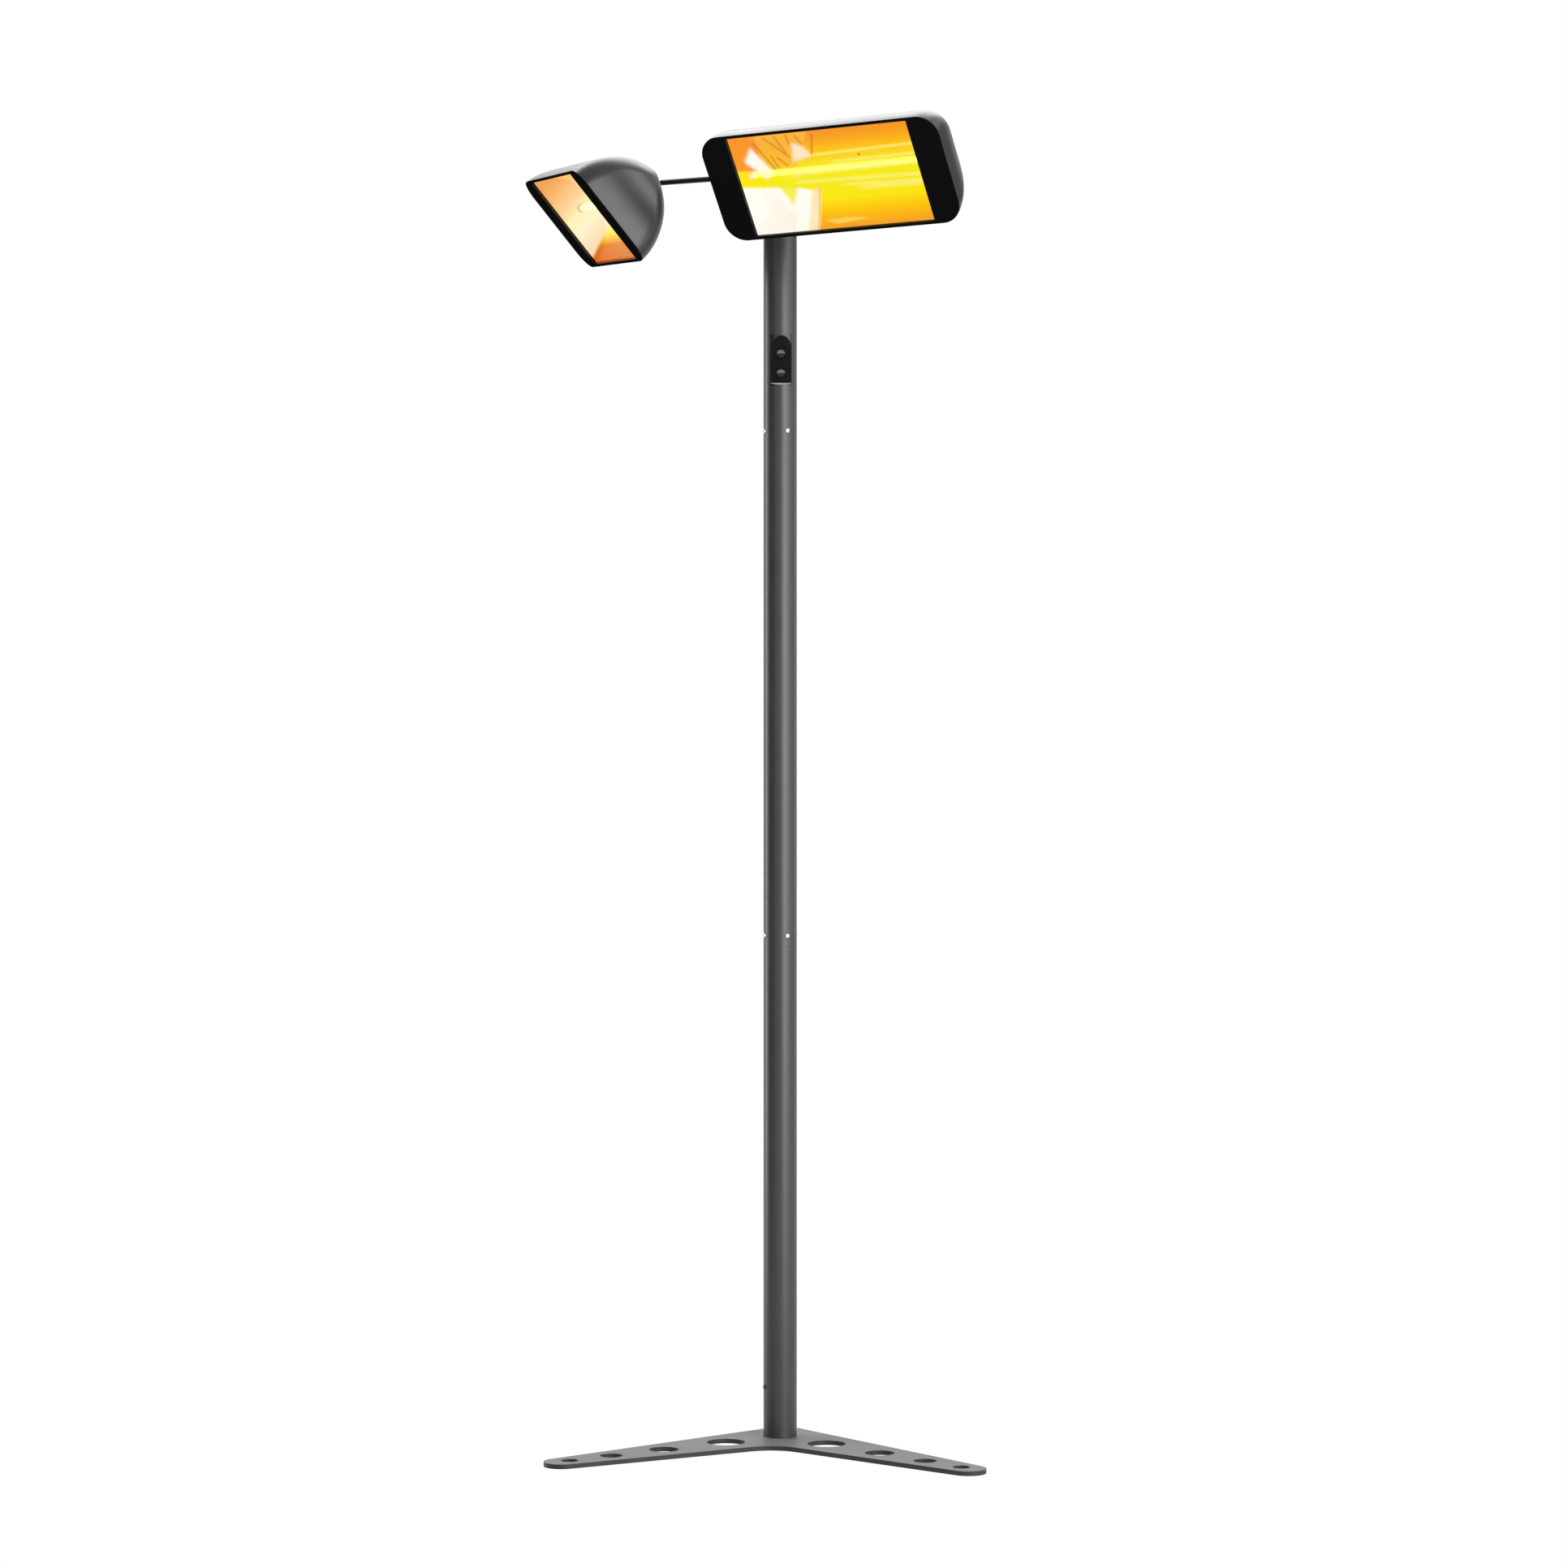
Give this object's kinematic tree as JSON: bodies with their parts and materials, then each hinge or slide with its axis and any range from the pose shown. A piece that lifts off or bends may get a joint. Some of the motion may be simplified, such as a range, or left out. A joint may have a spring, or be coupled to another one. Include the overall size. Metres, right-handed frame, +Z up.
{
  "type": "infrared patio heater tower",
  "caption": "Free-standing infrared patio heater: a round post on a flat V-shaped perforated floor plate, with tilting lamp heads on thin arms and rocker switches in the post.",
  "frame": {"origin": "on the floor, on the axis of the post", "axes": "+Z up along the post; the V of the floor plate opens towards -Y, which is the front; +X is to the right seen from the front"},
  "size_m": [0.8769, 0.7217, 2.3222],
  "materials": {
    "plate": "satin grey powder coat on steel plate",
    "post": "satin grey-brown powder coat on steel tube",
    "hub": "satin powder coat on cast aluminium",
    "shell": "satin anthracite powder coat on drawn aluminium",
    "bezel_black": "satin black powder coat",
    "black_steel": "satin black coating",
    "insert_steel": "plain turned steel",
    "screw_steel": "plain bright steel",
    "dark_screw": "black oxide",
    "panel_black": "matte moulded black",
    "switch_black": "matte moulded black",
    "rocker_black": "satin moulded black",
    "gland_black": "matte moulded black",
    "rubber": "matte black rubber",
    "filter_glass": "clear gold-tinted glass",
    "reflector": "polished",
    "quartz": "clear quartz",
    "lamp_core": "matte white",
    "ceramic": "matte white"
  },
  "bodies": {
    "stand": {"base_plate": "plate", "foot_socket": "insert_steel", "foot_screw": "dark_screw", "lower_tube": "post", "cable_inlet_bush": "rubber", "lower_sleeve": "insert_steel", "middle_tube": "post", "upper_sleeve": "insert_steel", "upper_tube": "post", "switch_panel": "panel_black", "upper_switch_body": "switch_black", "lower_switch_body": "switch_black", "hub_screw": "screw_steel", "lower_seam_screw_1": "screw_steel", "lower_seam_screw_2": "screw_steel", "lower_seam_screw_3": "screw_steel", "lower_seam_screw_4": "screw_steel", "upper_seam_screw_1": "screw_steel", "upper_seam_screw_2": "screw_steel", "upper_seam_screw_3": "screw_steel", "upper_seam_screw_4": "screw_steel"},
    "hub": {"hub": "hub", "left_arm_screw": "screw_steel", "right_arm_screw": "screw_steel"},
    "left_arm": {"left_arm": "black_steel"},
    "left_knuckle": {"left_knuckle": "black_steel", "left_swivel_bolt": "black_steel"},
    "left_head": {"left_shell": "shell", "left_bezel": "bezel_black", "left_gasket": "rubber", "left_glass": "filter_glass", "left_reflector": "reflector", "left_lamp_tube": "quartz", "left_lamp_core": "lamp_core", "left_terminal_block": "ceramic", "left_cable_gland": "gland_black", "left_yoke": "black_steel", "left_yoke_screw_1": "screw_steel", "left_yoke_screw_2": "screw_steel", "left_tilt_bolt": "black_steel", "left_tilt_nut": "black_steel"},
    "right_arm": {"right_arm": "black_steel"},
    "right_knuckle": {"right_knuckle": "black_steel", "right_swivel_bolt": "black_steel"},
    "right_head": {"right_shell": "shell", "right_bezel": "bezel_black", "right_gasket": "rubber", "right_glass": "filter_glass", "right_reflector": "reflector", "right_lamp_tube": "quartz", "right_lamp_core": "lamp_core", "right_terminal_block": "ceramic", "right_cable_gland": "gland_black", "right_yoke": "black_steel", "right_yoke_screw_1": "screw_steel", "right_yoke_screw_2": "screw_steel", "right_tilt_bolt": "black_steel", "right_tilt_nut": "black_steel"},
    "upper_rocker": {"upper_rocker": "rocker_black"},
    "lower_rocker": {"lower_rocker": "rocker_black"}
  },
  "joints": [
    {"name": "hub_swivel", "type": "hinge", "parent": "stand", "child": "hub", "pos_m": [0, 0, 2.238], "axis": [0, 0, 1], "range_deg": [-60, 60]},
    {"name": "left_arm_turn", "type": "hinge", "parent": "hub", "child": "left_arm", "pos_m": [0, 0, 2.272], "axis": [-0.9438, 0.3305, 0], "range_deg": [-15, 15]},
    {"name": "left_head_swivel", "type": "hinge", "parent": "left_arm", "child": "left_knuckle", "pos_m": [-0.23689, 0.08296, 2.272], "axis": [-0.0437, -0.1248, 0.9912], "range_deg": [-115.3, 34.7]},
    {"name": "left_head_tilt", "type": "hinge", "parent": "left_knuckle", "child": "left_head", "pos_m": [-0.25273, 0.07696, 2.27055], "axis": [0.3606, -0.9273, -0.1009], "range_deg": [-35.8, 24.2]},
    {"name": "right_arm_turn", "type": "hinge", "parent": "hub", "child": "right_arm", "pos_m": [0, 0, 2.272], "axis": [0.6626, -0.749, 0], "range_deg": [-15, 15]},
    {"name": "right_head_swivel", "type": "hinge", "parent": "right_arm", "child": "right_knuckle", "pos_m": [0.16632, -0.18799, 2.272], "axis": [-0.0222, -0.0197, 0.9996], "range_deg": [-11.4, 138.6]},
    {"name": "right_head_tilt", "type": "hinge", "parent": "right_knuckle", "child": "right_head", "pos_m": [0.15993, -0.20373, 2.27155], "axis": [0.9264, -0.3764, 0.0132], "range_deg": [-34.7, 25.3]},
    {"name": "upper_rocker_press", "type": "hinge", "parent": "stand", "child": "upper_rocker", "pos_m": [0.00319, -0.02136, 1.946], "axis": [0.989, 0.1478, 0], "range_deg": [0, 16]},
    {"name": "lower_rocker_press", "type": "hinge", "parent": "stand", "child": "lower_rocker", "pos_m": [0.00319, -0.02136, 1.911], "axis": [0.989, 0.1478, 0], "range_deg": [0, 16]}
  ]
}
